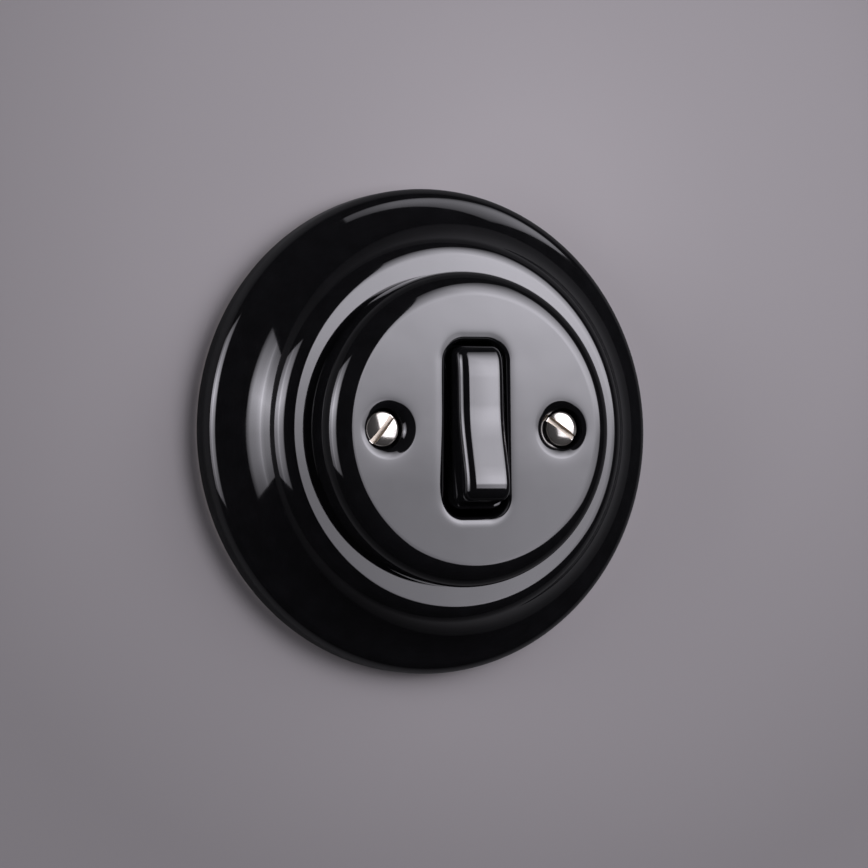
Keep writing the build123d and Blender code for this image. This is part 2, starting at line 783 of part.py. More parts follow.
switch_base.part.label = "switch_base"
export_step(switch_base.part, "parts/switch_base.step")


# Chamber lid: thin insulating sheet let into the front of the base
with BuildPart() as chamber_lid:
    with BuildSketch(wall):
        lid_width = chamber_width + 2 * (lid_margin - fit_clearance)
        lid_length = 2 * (chamber_half_length + lid_margin - fit_clearance)
        Rectangle(lid_width, lid_length)
        Rectangle(throat_width, throat_height, mode=Mode.SUBTRACT)
    extrude(amount=-lid_thickness)

chamber_lid.part.label = "chamber_lid"
export_step(chamber_lid.part, "parts/chamber_lid.step")
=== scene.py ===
import json
import math

import bmesh
import bpy
from mathutils import Matrix, Vector


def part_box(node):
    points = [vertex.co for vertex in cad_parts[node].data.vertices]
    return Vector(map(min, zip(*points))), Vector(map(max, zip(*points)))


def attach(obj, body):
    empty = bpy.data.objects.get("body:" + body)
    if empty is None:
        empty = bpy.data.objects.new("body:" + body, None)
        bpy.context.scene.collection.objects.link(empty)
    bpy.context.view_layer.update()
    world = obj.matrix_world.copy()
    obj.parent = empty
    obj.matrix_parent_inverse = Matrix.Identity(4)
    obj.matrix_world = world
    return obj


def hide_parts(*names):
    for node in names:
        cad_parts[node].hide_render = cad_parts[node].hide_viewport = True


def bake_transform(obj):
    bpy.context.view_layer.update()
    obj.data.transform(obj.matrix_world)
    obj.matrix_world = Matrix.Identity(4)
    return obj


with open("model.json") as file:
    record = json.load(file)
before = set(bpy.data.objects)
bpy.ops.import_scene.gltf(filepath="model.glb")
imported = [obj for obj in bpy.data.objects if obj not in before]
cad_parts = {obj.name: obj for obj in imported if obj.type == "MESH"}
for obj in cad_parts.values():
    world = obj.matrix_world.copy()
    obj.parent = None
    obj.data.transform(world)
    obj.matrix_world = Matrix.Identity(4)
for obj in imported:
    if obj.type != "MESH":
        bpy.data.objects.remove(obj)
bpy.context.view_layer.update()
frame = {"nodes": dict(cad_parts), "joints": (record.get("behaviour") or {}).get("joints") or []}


# Switch base: the insulating block that goes into the wall box and carries the contacts.
# Pressed from ivory urea resin, matt, faintly mottled, with edges left soft by the mould.
# The block's own mesh is copied and merged, and its edges are rounded.
mm = 0.001
weld = 0.001 * mm


def stand_in(piece, node, body):
    """Puts a finished piece on its body in place of a CAD node."""
    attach(piece, body)
    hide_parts(node)


def soft_edged(node, material, edge_radius, segments=2):
    """A merged copy of a CAD node's mesh in its own material, with its sharp edges rounded."""
    bpy.ops.object.select_all(action="DESELECT")
    piece = bpy.data.objects.new(node + "_finished", frame["nodes"][node].data.copy())
    bpy.context.scene.collection.objects.link(piece)
    piece.select_set(True)
    bpy.context.view_layer.objects.active = piece
    bpy.ops.mesh.customdata_custom_splitnormals_clear()
    bpy.ops.object.mode_set(mode="EDIT")
    bpy.ops.mesh.select_all(action="SELECT")
    bpy.ops.mesh.remove_doubles(threshold=weld)
    bpy.ops.mesh.dissolve_limited(angle_limit=math.radians(0.3))
    bpy.ops.object.mode_set(mode="OBJECT")
    rounding = piece.modifiers.new("rounding", "BEVEL")
    rounding.width = edge_radius
    rounding.segments = segments
    rounding.limit_method = "ANGLE"
    rounding.angle_limit = math.radians(40)
    bpy.ops.object.modifier_apply(modifier=rounding.name)
    bpy.ops.object.shade_smooth_by_angle(angle=math.radians(35))
    piece.data.materials.clear()
    piece.data.materials.append(material)
    return piece


def new_group(name, inputs, outputs):
    """An empty shader node group with float or vector inputs and float outputs."""
    group = bpy.data.node_groups.new(name, "ShaderNodeTree")
    group.interface.new_socket("Vector", in_out="INPUT", socket_type="NodeSocketVector")
    for label, value in inputs.items():
        socket = group.interface.new_socket(label, in_out="INPUT", socket_type="NodeSocketFloat")
        socket.default_value = value
    for label in outputs:
        group.interface.new_socket(label, in_out="OUTPUT", socket_type="NodeSocketFloat")
    return group, group.nodes.new("NodeGroupInput"), group.nodes.new("NodeGroupOutput")


def add(tree, kind, values=None, **settings):
    """A new node with its settings and unlinked input values."""
    node = tree.nodes.new(kind)
    for label, value in settings.items():
        setattr(node, label, value)
    for socket, value in (values or {}).items():
        node.inputs[socket].default_value = value
    return node


def moulded_skin_group():
    """Cloudy mottling and a fine pitted skin, as a press leaves on resin."""
    group, given, result = new_group(
        "moulded_skin", {"Mottle Scale": 120.0, "Grain Scale": 2500.0}, ["Mottle", "Height"]
    )
    cloud = add(group, "ShaderNodeTexNoise", {"Detail": 4.0, "Roughness": 0.6})
    grain = add(group, "ShaderNodeTexNoise", {"Detail": 2.0, "Roughness": 0.5})
    group.links.new(given.outputs["Vector"], cloud.inputs["Vector"])
    group.links.new(given.outputs["Mottle Scale"], cloud.inputs["Scale"])
    group.links.new(given.outputs["Vector"], grain.inputs["Vector"])
    group.links.new(given.outputs["Grain Scale"], grain.inputs["Scale"])
    group.links.new(cloud.outputs["Fac"], result.inputs["Mottle"])
    group.links.new(grain.outputs["Fac"], result.inputs["Height"])
    return group


moulded_skin = moulded_skin_group()


def finish(name, roughness, metallic=0.0, ior=1.5):
    """A new material with its object coordinates and Principled shader."""
    material = bpy.data.materials.new(name)
    material.use_nodes = True
    tree = material.node_tree
    shader = tree.nodes["Principled BSDF"]
    shader.inputs["Roughness"].default_value = roughness
    shader.inputs["Metallic"].default_value = metallic
    shader.inputs["IOR"].default_value = ior
    place = tree.nodes.new("ShaderNodeTexCoord")
    return material, tree, shader, place.outputs["Object"]


def placed(tree, group, vector, **values):
    """A node group placed in a material with its own values."""
    node = tree.nodes.new("ShaderNodeGroup")
    node.node_tree = group
    tree.links.new(vector, node.inputs["Vector"])
    for label, value in values.items():
        node.inputs[label.replace("_", " ").title()].default_value = value
    return node


def ramp(tree, factor, stops):
    """A colour ramp over a factor; each stop is a place and a colour or a grey."""
    node = tree.nodes.new("ShaderNodeValToRGB")
    tree.links.new(factor, node.inputs["Fac"])
    points = node.color_ramp.elements
    while len(points) < len(stops):
        points.new(0.5)
    for point, (place, tone) in zip(points, stops):
        point.position = place
        point.color = (*tone, 1.0) if isinstance(tone, tuple) else (tone, tone, tone, 1.0)
    return node.outputs["Color"]


def bump(tree, shader, height, depth):
    """Feeds a height in object units to the shader's normal."""
    node = add(tree, "ShaderNodeBump", {"Strength": 1.0, "Distance": depth})
    tree.links.new(height, node.inputs["Height"])
    tree.links.new(node.outputs["Normal"], shader.inputs["Normal"])


def moulded(name, dark, light, roughness, depth, **scales):
    """A pressed resin: two near tones, uneven gloss and a fine skin."""
    material, tree, shader, vector = finish(name, roughness)
    skin = placed(tree, moulded_skin, vector, **scales)
    tone = ramp(tree, skin.outputs["Mottle"], [(0.3, dark), (0.7, light)])
    tree.links.new(tone, shader.inputs["Base Color"])
    gloss = ramp(tree, skin.outputs["Mottle"], [(0.2, roughness - 0.06), (0.8, roughness + 0.06)])
    tree.links.new(gloss, shader.inputs["Roughness"])
    bump(tree, shader, skin.outputs["Height"], depth)
    return material


ivory_dark = (0.66, 0.62, 0.51)
ivory_light = (0.77, 0.74, 0.65)
ivory_moulding = moulded("ivory_moulding", ivory_dark, ivory_light, roughness=0.42, depth=0.02 * mm)

switch_base = soft_edged("switch_base", ivory_moulding, edge_radius=0.3 * mm, segments=3)
stand_in(switch_base, "switch_base", "switch")


# Terminal strips and cradle: the brass that carries the current out to the wires.
# Sheared and bent from bright rolled strip, with fine rolling lines and a warm tarnish.
# Each keeps its mesh with its sheared edges just broken.
def rolled_sheet_group():
    """Rolling lines along X and slow clouds of tarnish or plating."""
    group, given, result = new_group(
        "rolled_sheet", {"Line Scale": 900.0, "Cloud Scale": 160.0}, ["Line", "Cloud"]
    )
    stretch = add(group, "ShaderNodeMapping", {"Scale": (0.06, 1.0, 1.0)})
    line = add(group, "ShaderNodeTexNoise", {"Detail": 3.0, "Roughness": 0.6})
    cloud = add(group, "ShaderNodeTexNoise", {"Detail": 5.0, "Roughness": 0.55})
    group.links.new(given.outputs["Vector"], stretch.inputs["Vector"])
    group.links.new(stretch.outputs["Vector"], line.inputs["Vector"])
    group.links.new(given.outputs["Line Scale"], line.inputs["Scale"])
    group.links.new(given.outputs["Vector"], cloud.inputs["Vector"])
    group.links.new(given.outputs["Cloud Scale"], cloud.inputs["Scale"])
    group.links.new(line.outputs["Fac"], result.inputs["Line"])
    group.links.new(cloud.outputs["Fac"], result.inputs["Cloud"])
    return group


rolled_sheet = rolled_sheet_group()


def sheet_metal(name, dark, light, roughness, depth, **scales):
    """Bare or plated sheet: clouded tone and gloss over fine rolling lines."""
    material, tree, shader, vector = finish(name, roughness, metallic=1.0)
    sheet = placed(tree, rolled_sheet, vector, **scales)
    tone = ramp(tree, sheet.outputs["Cloud"], [(0.3, dark), (0.65, light)])
    tree.links.new(tone, shader.inputs["Base Color"])
    gloss = ramp(tree, sheet.outputs["Cloud"], [(0.3, roughness + 0.1), (0.7, roughness - 0.05)])
    tree.links.new(gloss, shader.inputs["Roughness"])
    bump(tree, shader, sheet.outputs["Line"], depth)
    return material


brass_dark = (0.52, 0.34, 0.13)
brass_light = (0.76, 0.57, 0.28)
brass = sheet_metal("brass", brass_dark, brass_light, roughness=0.3, depth=0.006 * mm)

for node in ("common_terminal", "upper_terminal", "lower_terminal", "bridge_cradle"):
    strip = soft_edged(node, brass, edge_radius=0.1 * mm)
    stand_in(strip, node, "switch")


# Contact see-saw: the brass bar that the plunger tips from one fixed contact to the other.
# Stamped from the same strip as the terminals, with round trunnions that turn in the cradle.
# Its mesh is right as it is, so it only takes the brass.
def dress(node, material):
    """Gives a CAD node its finish."""
    frame["nodes"][node].material_slots[0].material = material


dress("contact_bridge", brass)


# Contact rivets: two domed rivets on the see-saw and two flat ones on the strips.
# Fine silver, soft and pale, with the dull bloom that silver takes inside a switch.
# They keep their meshes.
silver_dark = (0.62, 0.6, 0.57)
silver_light = (0.88, 0.87, 0.84)
silver = sheet_metal(
    "silver", silver_dark, silver_light, roughness=0.26, depth=0.002 * mm, cloud_scale=700.0
)

dress("moving_contacts", silver)
dress("fixed_contacts", silver)


# Terminal screws: three slotted cheese-head screws driven from the back into the strips.
# Turned steel under bright nickel, with fine tool rings and light driver marks.
# Their meshes are copied and the edges of heads and slots are broken.
def turned_metal_group():
    """Fine rings left by the lathe and a scatter of rub marks."""
    group, given, result = new_group(
        "turned_metal", {"Ring Scale": 2600.0, "Mark Scale": 900.0}, ["Ring", "Mark"]
    )
    ring = add(group, "ShaderNodeTexNoise", {"Detail": 2.0, "Roughness": 0.5}, noise_dimensions="1D")
    radius = add(group, "ShaderNodeVectorMath", operation="LENGTH")
    stretch = add(group, "ShaderNodeMapping", {"Rotation": (0.4, 0.9, 0.2), "Scale": (0.08, 1.0, 1.0)})
    mark = add(group, "ShaderNodeTexNoise", {"Detail": 4.0, "Roughness": 0.7})
    group.links.new(given.outputs["Vector"], radius.inputs[0])
    group.links.new(radius.outputs["Value"], ring.inputs["W"])
    group.links.new(given.outputs["Ring Scale"], ring.inputs["Scale"])
    group.links.new(given.outputs["Vector"], stretch.inputs["Vector"])
    group.links.new(stretch.outputs["Vector"], mark.inputs["Vector"])
    group.links.new(given.outputs["Mark Scale"], mark.inputs["Scale"])
    group.links.new(ring.outputs["Fac"], result.inputs["Ring"])
    group.links.new(mark.outputs["Fac"], result.inputs["Mark"])
    return group


turned_metal = turned_metal_group()


def plated(name, dark, light, roughness, depth, center):
    """Plated turned steel; center is the right-hand screw's axis, mirrored for the left-hand one."""
    material, tree, shader, vector = finish(name, roughness, metallic=1.0)
    fold = add(tree, "ShaderNodeVectorMath", operation="ABSOLUTE")
    shift = add(tree, "ShaderNodeVectorMath", {1: center}, operation="SUBTRACT")
    flat = add(tree, "ShaderNodeVectorMath", {1: (1.0, 0.0, 1.0)}, operation="MULTIPLY")
    tree.links.new(vector, fold.inputs[0])
    tree.links.new(fold.outputs["Vector"], shift.inputs[0])
    tree.links.new(shift.outputs["Vector"], flat.inputs[0])
    metal = placed(tree, turned_metal, flat.outputs["Vector"])
    tone = ramp(tree, metal.outputs["Mark"], [(0.35, dark), (0.55, light)])
    tree.links.new(tone, shader.inputs["Base Color"])
    gloss = ramp(tree, metal.outputs["Mark"], [(0.3, roughness + 0.08), (0.6, roughness)])
    tree.links.new(gloss, shader.inputs["Roughness"])
    bump(tree, shader, metal.outputs["Ring"], depth)
    return material, tree, shader, flat.outputs["Vector"], vector


nickel_dark = (0.6, 0.56, 0.5)
nickel_light = (0.78, 0.75, 0.7)
_, terminal_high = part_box("terminal_screws")
terminal_head = 6.4 * mm
terminal_center = (terminal_high.x - terminal_head / 2, 0.0, terminal_high.z - terminal_head / 2)
terminal_nickel = plated(
    "terminal_nickel", nickel_dark, nickel_light, roughness=0.2, depth=0.002 * mm, center=terminal_center
)[0]

terminal_screws = soft_edged("terminal_screws", terminal_nickel, edge_radius=0.15 * mm)
stand_in(terminal_screws, "terminal_screws", "switch")


# Zinc-plated steel: the mounting plate, bracket, clamp plates, nuts, screws and pin.
# Punched and bent from mild sheet, then plated a dull bluish grey with a cloudy bloom.
# Each mesh is copied and its punched edges are broken.
zinc_dark = (0.42, 0.43, 0.45)
zinc_light = (0.64, 0.65, 0.66)
zinc_steel = sheet_metal(
    "zinc_steel", zinc_dark, zinc_light, roughness=0.36, depth=0.005 * mm, cloud_scale=110.0
)
zinc_edges = {
    "mounting_plate": 0.15 * mm,
    "pivot_bracket": 0.12 * mm,
    "clamp_plates": 0.15 * mm,
    "square_nuts": 0.2 * mm,
    "bracket_screws": 0.12 * mm,
    "pivot_pin": 0.15 * mm,
}
for node, edge_radius in zinc_edges.items():
    piece = soft_edged(node, zinc_steel, edge_radius)
    stand_in(piece, node, "switch")


# Threaded pillars: the two round posts, riveted into the plate, that the cover screws pull on.
# Turned from brass rod of the same colour as the strips.
# Their meshes are copied and their ends are broken.
pillars = soft_edged("threaded_pillars", brass, edge_radius=0.15 * mm)
stand_in(pillars, "threaded_pillars", "switch")


# Chamber lid: the thin sheet that closes the contact chamber around the plunger.
# Punched from brown vulcanised fibre, with a faint mottle pressed into its faces.
# It keeps its mesh.
fibre_dark = (0.13, 0.055, 0.03)
fibre_light = (0.25, 0.12, 0.065)
brown_fibre = moulded(
    "brown_fibre", fibre_dark, fibre_light, roughness=0.5, depth=0.03 * mm, mottle_scale=400.0
)

dress("chamber_lid", brown_fibre)


# Plunger and spring: the sprung pin in the rocker's barrel that tips the see-saw.
# The pin is smooth white acetal, and the spring is bright drawn wire.
# The pin keeps its mesh. The spring's mesh is copied in its place, with its edges broken.
acetal_dark = (0.74, 0.74, 0.72)
acetal_light = (0.82, 0.82, 0.8)
white_moulding = moulded(
    "white_moulding", acetal_dark, acetal_light, roughness=0.35, depth=0.004 * mm
)
wire_dark = (0.4, 0.4, 0.41)
wire_light = (0.6, 0.6, 0.6)
spring_wire = sheet_metal(
    "spring_wire", wire_dark, wire_light, roughness=0.28, depth=0.001 * mm, cloud_scale=900.0
)

wire_edge = 0.04 * mm

dress("plunger", white_moulding)
spring = soft_edged("plunger_spring", spring_wire, wire_edge)
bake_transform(spring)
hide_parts("plunger_spring")


# Rocker: the long narrow lever that the finger tips, on a thin skirt that closes the aperture.
# Moulded in gloss black resin and polished, with rounded edges and a face that dips in a shallow V.
# Lever, skirt, hub and barrel are modelled about the pivot, joined, bored and tipped to rest.
def pick(piece, kind, test):
    """Selects, in edit mode, the faces or edges that pass a test, and nothing else."""
    bpy.ops.mesh.select_all(action="DESELECT")
    bpy.context.tool_settings.mesh_select_mode = (False, kind == "edges", kind == "faces")
    mesh = bmesh.from_edit_mesh(piece.data)
    for part in getattr(mesh, kind):
        if test(part):
            part.select_set(True)
    bmesh.update_edit_mesh(piece.data)


def plate_outline(width, length, corner, height, steps=14, flare=0.0):
    """Adds a rounded rectangle, wider below by a flare, that faces the front."""
    bpy.ops.mesh.primitive_plane_add(size=1, location=(0, -height, 0), rotation=(math.radians(90), 0, 0))
    if bpy.context.mode != "EDIT_MESH":
        bpy.ops.object.transform_apply(location=True, rotation=True, scale=True)
        bpy.ops.object.mode_set(mode="EDIT")
    plate = bpy.context.object
    bpy.ops.transform.resize(value=(width, 1, length), center_override=(0, -height, 0))
    if flare:
        corners = [vert for vert in bmesh.from_edit_mesh(plate.data).verts if vert.select]
        for vert in corners:
            vert.co.x += math.copysign(flare, vert.co.x) * -math.copysign(1, vert.co.z)
    bpy.ops.mesh.bevel(offset=corner, segments=steps, profile=0.5, affect="VERTICES")
    return plate


def raise_face(piece, start, finish_height):
    """Extrudes the front face at one height forward to another."""
    pick(piece, "faces", lambda face: abs(face.calc_center_median().y + start) < weld)
    step = (0, start - finish_height, 0)
    bpy.ops.mesh.extrude_region_move(TRANSFORM_OT_translate={"value": step})


def close_back(piece):
    """Closes the open back of an extruded plate and turns its faces outward."""
    pick(piece, "edges", lambda edge: edge.is_boundary)
    bpy.ops.mesh.edge_face_add()
    bpy.ops.mesh.select_all(action="SELECT")
    bpy.ops.mesh.normals_make_consistent(inside=False)
    bpy.ops.object.mode_set(mode="OBJECT")


def arc(center, radius, start, end, steps):
    """Points of an arc in a section, from one angle to another in degrees."""
    turns = [math.radians(start + (end - start) * k / steps) for k in range(steps + 1)]
    return [(center[0] + radius * math.cos(t), center[1] + radius * math.sin(t)) for t in turns]


def drawn(name, points, closed=True):
    """A new object holding one path of edges, drawn from point to point and left in edit mode."""
    bpy.ops.object.select_all(action="DESELECT")
    bpy.ops.mesh.primitive_plane_add(size=mm)
    piece = bpy.context.object
    piece.name = name
    bpy.context.tool_settings.mesh_select_mode = (True, False, False)
    bpy.ops.object.mode_set(mode="EDIT")
    bpy.ops.mesh.merge(type="CENTER")
    bpy.ops.transform.translate(value=points[0])
    path = points + points[:1] if closed else points
    for here, there in zip(path, path[1:]):
        step = Vector(there) - Vector(here)
        bpy.ops.mesh.extrude_vertices_move(TRANSFORM_OT_translate={"value": step})
    bpy.ops.mesh.select_all(action="SELECT")
    bpy.ops.mesh.remove_doubles(threshold=weld)
    return piece


def rod(radius, length, center, turn, sides=64):
    """A closed round bar as a new object, to join or to cut with."""
    bpy.ops.object.select_all(action="DESELECT")
    bpy.ops.mesh.primitive_cylinder_add(
        vertices=sides, radius=radius, depth=length, location=center, rotation=turn
    )
    bpy.ops.object.transform_apply(location=True, rotation=True, scale=True)
    return bpy.context.object


def block(size, center, turn=(0, 0, 0)):
    """A closed square bar as a new object, to join or to cut with."""
    bpy.ops.object.select_all(action="DESELECT")
    bpy.ops.mesh.primitive_cube_add(size=1, location=center, rotation=turn)
    bpy.context.object.scale = size
    bpy.ops.object.transform_apply(location=True, rotation=True, scale=True)
    return bpy.context.object


def combine(piece, other, operation):
    """Joins another solid to a piece, or cuts it out, and removes the other."""
    bpy.ops.object.select_all(action="DESELECT")
    piece.select_set(True)
    bpy.context.view_layer.objects.active = piece
    step = piece.modifiers.new("combine", "BOOLEAN")
    step.operation = operation
    step.object = other
    step.solver = "EXACT"
    bpy.ops.object.modifier_apply(modifier=step.name)
    bpy.data.objects.remove(other)


rocker_tilt = math.radians(7.0)
pivot_height = -frame["joints"][0]["pos_m"][1]
skirt_width = 12.2 * mm
skirt_length = 33.2 * mm
skirt_corner = 2.9 * mm
skirt_back = 2.8 * mm
skirt_front = 4.0 * mm
skirt_slope = 0.25 * mm
skirt_margin = 0.62 * mm
lever_root = 3.4 * mm
lever_half = 16.15 * mm
lever_side = 5.0 * mm
crest_place = 11.55 * mm
crest_height = 10.995 * mm
hollow_radius = 33.0 * mm
hollow_turn = 6.0
end_arcs = (
    (26.0 * mm, 90.0 + hollow_turn, 88.5),
    (5.0 * mm, 88.5, 65.0),
    (2.6 * mm, 65.0, 6.3),
)
side_radius = 2.0 * mm
root_margin = 0.1 * mm
hub_radius = 3.0 * mm
hub_length = 9.3 * mm
barrel_radius = 3.2 * mm
barrel_end = -16.8 * mm
plunger_bore = 2.05 * mm
bore_top = -5.0 * mm
pin_hole = 1.25 * mm
pin_drill = 20.0 * mm
across_x = (0, math.radians(90), 0)
along_y = (math.radians(90), 0, 0)

bpy.ops.object.select_all(action="DESELECT")
rocker = plate_outline(skirt_width, skirt_length, skirt_corner, skirt_back)
raise_face(rocker, skirt_back, skirt_front - skirt_slope)
bpy.ops.mesh.inset(thickness=skirt_margin, depth=skirt_slope)
close_back(rocker)

# Each end runs from the hollow over the crest to the end wall in three arcs that follow on smoothly.
lever_end = []
last_radius = end_arcs[0][0]
arc_center = Vector((crest_place, crest_height - last_radius))
for radius, start, stop in end_arcs:
    lean = Vector((math.cos(math.radians(start)), math.sin(math.radians(start))))
    arc_center += lean * (last_radius - radius)
    lever_end = lever_end[:-1] + arc(arc_center, radius, start, stop, steps=12)
    last_radius = radius

slope = math.radians(hollow_turn)
flat_run = lever_end[0][0] - hollow_radius * math.sin(slope)
flat_foot = lever_end[0][1] - flat_run * math.tan(slope)
hollow_center = (0, flat_foot + hollow_radius * math.cos(slope))
lever_profile = (
    [(lever_half, lever_root)]
    + lever_end[::-1]
    + arc(hollow_center, hollow_radius, 270 + hollow_turn, 270 - hollow_turn, steps=16)
    + [(-place, height) for place, height in lever_end]
    + [(-lever_half, lever_root)]
)
lever = drawn("lever", [(-lever_side, -height, place) for place, height in lever_profile])
bpy.ops.mesh.edge_face_add()
bpy.ops.mesh.extrude_region_move(TRANSFORM_OT_translate={"value": (2 * lever_side, 0, 0)})
pick(
    lever,
    "edges",
    lambda edge: abs(edge.verts[0].co.x - edge.verts[1].co.x) < weld
    and any(vert.co.y < -lever_root - root_margin for vert in edge.verts),
)
bpy.ops.mesh.bevel(offset=side_radius, segments=14, profile=0.5, affect="EDGES", clamp_overlap=False)
bpy.ops.mesh.select_all(action="SELECT")
bpy.ops.mesh.normals_make_consistent(inside=False)
bpy.ops.object.mode_set(mode="OBJECT")

combine(rocker, lever, "UNION")
combine(rocker, rod(hub_radius, hub_length, (0, 0, 0), across_x), "UNION")
barrel_length = skirt_front - barrel_end
barrel_middle = (0, -(skirt_front + barrel_end) / 2, 0)
combine(rocker, rod(barrel_radius, barrel_length, barrel_middle, along_y), "UNION")
bore_length = bore_top - 2 * barrel_end
bore_middle = (0, -(bore_top + 2 * barrel_end) / 2, 0)
combine(rocker, rod(plunger_bore, bore_length, bore_middle, along_y), "DIFFERENCE")
combine(rocker, rod(pin_hole, pin_drill, (0, 0, 0), across_x, sides=48), "DIFFERENCE")
rocker.name = "rocker_lever"
rocker.rotation_euler = (-rocker_tilt, 0, 0)
rocker.location = (0, -pivot_height, 0)
bpy.ops.object.select_all(action="DESELECT")
rocker.select_set(True)
bpy.context.view_layer.objects.active = rocker
bpy.ops.object.transform_apply(location=True, rotation=True, scale=True)
bpy.ops.object.shade_smooth_by_angle(angle=math.radians(30))


def glossy_skin_group():
    """Slow ripples and a faint haze on a polished or glazed surface."""
    group, given, result = new_group(
        "glossy_skin", {"Ripple Scale": 90.0, "Haze Scale": 220.0}, ["Ripple", "Haze"]
    )
    ripple = add(group, "ShaderNodeTexNoise", {"Detail": 1.5, "Roughness": 0.4})
    haze = add(group, "ShaderNodeTexNoise", {"Detail": 5.0, "Roughness": 0.65})
    for texture in (ripple, haze):
        group.links.new(given.outputs["Vector"], texture.inputs["Vector"])
    group.links.new(given.outputs["Ripple Scale"], ripple.inputs["Scale"])
    group.links.new(given.outputs["Haze Scale"], haze.inputs["Scale"])
    group.links.new(ripple.outputs["Fac"], result.inputs["Ripple"])
    group.links.new(haze.outputs["Fac"], result.inputs["Haze"])
    return group


glossy_skin = glossy_skin_group()
jet = (0.0065, 0.0065, 0.007)
jet_haze = (0.0095, 0.0095, 0.0105)


def gloss_black(name, ripple_depth, ior, polish, **scales):
    """A gloss black surface; the last value is an open input for more relief."""
    material, tree, shader, vector = finish(name, polish, ior=ior)
    skin = placed(tree, glossy_skin, vector, **scales)
    tone = ramp(tree, skin.outputs["Haze"], [(0.35, jet), (0.75, jet_haze)])
    tree.links.new(tone, shader.inputs["Base Color"])
    gloss = ramp(tree, skin.outputs["Haze"], [(0.35, polish), (0.8, polish + 0.05)])
    tree.links.new(gloss, shader.inputs["Roughness"])
    wave = add(tree, "ShaderNodeMath", {1: ripple_depth}, operation="MULTIPLY")
    relief = add(tree, "ShaderNodeMath", {1: 0.0}, operation="ADD")
    tree.links.new(skin.outputs["Ripple"], wave.inputs[0])
    tree.links.new(wave.outputs["Value"], relief.inputs[0])
    bump(tree, shader, relief.outputs["Value"], 1.0)
    return material, tree, shader, vector, relief.inputs[1]


black_moulding = gloss_black(
    "black_moulding", ripple_depth=0.01 * mm, ior=1.85, polish=0.06, ripple_scale=60.0
)[0]
rocker.data.materials.append(black_moulding)
stand_in(rocker, "rocker", "rocker")


# Outer frame: the round ring that lies on the wall and hides the wall box.
# Porcelain under a thick black glaze, with a bare foot where it stood in the kiln.
# It is turned: its half section is drawn point by point and spun about the wall's normal.
def turned(name, section, closed=True, steps=256):
    """A round piece: its half section, in radius and height, spun about the wall's normal."""
    piece = drawn(name, [(radius, -height, 0) for radius, height in section], closed)
    bpy.ops.mesh.spin(steps=steps, angle=math.radians(360), center=(0, 0, 0), axis=(0, 1, 0))
    bpy.ops.mesh.select_all(action="SELECT")
    bpy.ops.mesh.remove_doubles(threshold=weld)
    bpy.ops.mesh.normals_make_consistent(inside=False)
    bpy.ops.object.mode_set(mode="OBJECT")
    bpy.ops.object.shade_smooth_by_angle(angle=math.radians(30))
    return piece


frame_low, frame_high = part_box("outer_frame")
frame_radius = frame_high.x
ring_height = -frame_low.y
rim_radius = 3.9 * mm
rim_height = 3.7 * mm
rim_center = Vector((frame_radius - rim_radius, rim_height))
cove_radius = 16.7 * mm
shoulder_radius = 3.4 * mm
ring_flat_radius = 35.5 * mm
shoulder_center = Vector((ring_flat_radius, ring_height - shoulder_radius))
brow_radius = 7.1 * mm
brow_turn = 49.5
bore_radius = 30.2 * mm
ring_thickness = 5.6 * mm
ring_back = ring_height - ring_thickness
foot_width = 6.0 * mm
cavity_radius = frame_radius - foot_width
foot_height = 5.0 * mm
foot_rounding = 0.6 * mm

# The brow runs on from the shoulder, and the cove's centre lies one cove radius outside rim and brow.
brow_lean = Vector((math.cos(math.radians(brow_turn)), math.sin(math.radians(brow_turn))))
brow_center = shoulder_center - brow_lean * (brow_radius - shoulder_radius)
between = brow_center - rim_center
reach_rim = cove_radius + rim_radius
reach_brow = cove_radius + brow_radius
along = (reach_rim**2 - reach_brow**2 + between.length_squared) / (2 * between.length)
aside = math.sqrt(reach_rim**2 - along**2)
forward = between.normalized()
cove_center = rim_center + forward * along + Vector((forward.y, -forward.x)) * aside
rim_turn = math.degrees(math.atan2(*(cove_center - rim_center).yx))
cove_turn = math.degrees(math.atan2(*(cove_center - brow_center).yx))

frame_section = (
    arc(rim_center, rim_radius, 0, rim_turn, 24)
    + arc(cove_center, cove_radius, 180 + rim_turn, 180 + cove_turn, 24)[1:]
    + arc(brow_center, brow_radius, cove_turn, brow_turn, 10)[1:]
    + arc(shoulder_center, shoulder_radius, brow_turn, 90, 14)[1:]
    + [(bore_radius, ring_height), (bore_radius, ring_back), (shoulder_center.x, ring_back)]
    + [(cavity_radius, foot_height)]
    + arc((cavity_radius + foot_rounding, foot_rounding), foot_rounding, 180, 270, 6)
    + arc((frame_radius - foot_rounding, foot_rounding), foot_rounding, 270, 360, 6)
)
outer_frame = turned("porcelain_frame", frame_section)


biscuit = {"Base Color": (0.62, 0.58, 0.52, 1.0), "Roughness": (0.8, 0.8, 0.8, 1.0)}
glaze_line = 0.1 * mm
glaze_wander = 0.5 * mm
glaze_ior = 1.85
glaze_polish = 0.04


def show_through(tree, shader, mask, finish_values):
    """Changes the finish, one shader socket after another, where a mask is 1."""
    for label, value in finish_values.items():
        beneath = shader.inputs[label].links[0].from_socket
        mix = add(tree, "ShaderNodeMix", data_type="RGBA")
        mix.inputs["B"].default_value = value
        tree.links.new(mask, mix.inputs["Factor"])
        tree.links.new(beneath, mix.inputs["A"])
        tree.links.new(mix.outputs["Result"], shader.inputs[label])


